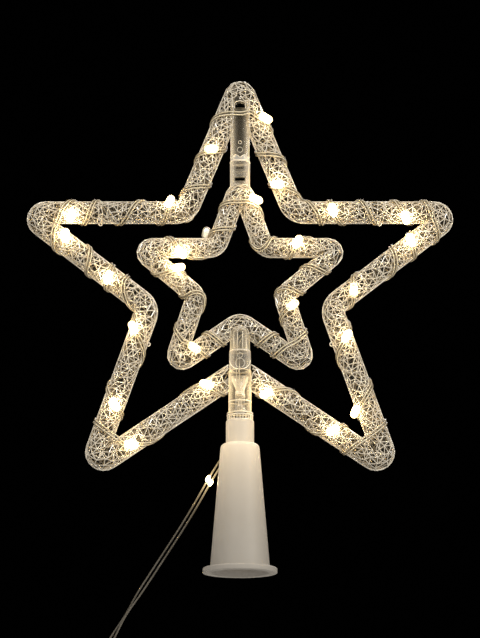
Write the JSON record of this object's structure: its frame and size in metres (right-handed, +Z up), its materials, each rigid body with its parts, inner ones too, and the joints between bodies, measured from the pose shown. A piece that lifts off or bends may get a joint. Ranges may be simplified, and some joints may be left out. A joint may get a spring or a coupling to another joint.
{
  "type": "christmas tree topper star",
  "caption": "Double five-pointed tree topper star of clear lattice tube wound with lamp wire, on a turning stem in a hollow white cone, with a lead and plug.",
  "frame": {"origin": "centre of the cone's open underside, where the tree's tip goes in", "axes": "+Z up along the stem, the star's front faces -Y and +X is to the right as seen from the front"},
  "size_m": [0.279, 0.0476, 0.4283],
  "materials": {
    "white_plastic": "satin",
    "clear_lattice": "gloss, moulded with a fine facet lattice",
    "clear_plastic": "gloss",
    "light_wire": "gloss",
    "lamp": "gloss",
    "sleeve": "gloss",
    "lead": "gloss",
    "connector": "matte",
    "barrel_metal": "plated",
    "tie": "matte"
  },
  "bodies": {
    "cone": {"topper_cone": "white_plastic"},
    "plug": {"stem_plug": "clear_plastic"},
    "star": {"bottom_link_peg": "clear_plastic", "bottom_socket_tube": "clear_plastic", "bottom_spigot_tube": "clear_plastic", "inner_lamp_01": "lamp", "inner_lamp_02": "lamp", "inner_lamp_03": "lamp", "inner_lamp_04": "lamp", "inner_lamp_05": "lamp", "inner_lamp_06": "lamp", "inner_lamp_07": "lamp", "inner_light_wire": "light_wire", "inner_star_back": "clear_lattice", "inner_star_front": "clear_lattice", "inner_wire_cap": "sleeve", "lead_coil": "lead", "lead_cord": "lead", "lead_lamp": "lamp", "lead_splice": "sleeve", "lead_tie": "tie", "outer_lamp_01": "lamp", "outer_lamp_02": "lamp", "outer_lamp_03": "lamp", "outer_lamp_04": "lamp", "outer_lamp_05": "lamp", "outer_lamp_06": "lamp", "outer_lamp_07": "lamp", "outer_lamp_08": "lamp", "outer_lamp_09": "lamp", "outer_lamp_10": "lamp", "outer_lamp_11": "lamp", "outer_lamp_12": "lamp", "outer_lamp_13": "lamp", "outer_lamp_14": "lamp", "outer_lamp_15": "lamp", "outer_lamp_16": "lamp", "outer_lamp_17": "lamp", "outer_lamp_18": "lamp", "outer_lamp_19": "lamp", "outer_light_wire": "light_wire", "outer_star_back": "clear_lattice", "outer_star_front": "clear_lattice", "outer_wire_cap": "sleeve", "plug_barrel": "barrel_metal", "plug_body": "connector", "plug_relief": "connector", "splice_saddle": "clear_plastic", "stem_tube": "clear_plastic", "swivel_pin": "clear_plastic", "top_hanger_tube": "clear_plastic", "top_link_peg": "clear_plastic", "top_socket_tube": "clear_plastic"}
  },
  "joints": [
    {"name": "plug_pull", "type": "slide", "parent": "cone", "child": "plug", "axis": [0, 0, 1], "range_m": [0, 0.016]},
    {"name": "star_swivel", "type": "hinge", "parent": "plug", "child": "star", "pos_m": [0, 0, 0.1075], "axis": [0, 0, 1], "continuous": true}
  ]
}
